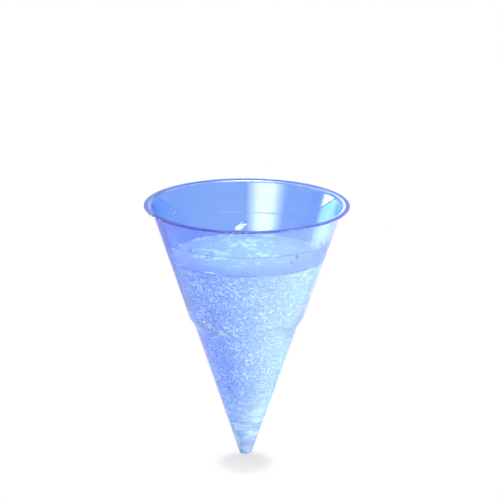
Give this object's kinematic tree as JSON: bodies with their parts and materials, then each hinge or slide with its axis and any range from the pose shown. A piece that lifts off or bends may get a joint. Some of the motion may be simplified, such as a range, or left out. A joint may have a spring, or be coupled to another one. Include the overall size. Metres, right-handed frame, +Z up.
{
  "type": "plastic cone cup",
  "caption": "Disposable cone cup in thin blue-tinted clear plastic with a flat rim, a stacking shoulder and a small flat tip, part filled with a fizzy drink.",
  "frame": {"origin": "the middle of the cup's small flat tip, on the cone's axis", "axes": "+Z up the cone's axis to the mouth; the cup is a body of revolution, so X and Y are any two directions across it"},
  "size_m": [0.0732, 0.0732, 0.092],
  "materials": {
    "tinted_plastic": "moulded clear plastic, gloss",
    "fizzy_drink": "clear liquid with fine bubbles"
  },
  "bodies": {
    "root": {"cup": "tinted_plastic", "drink": "fizzy_drink"}
  },
  "joints": []
}
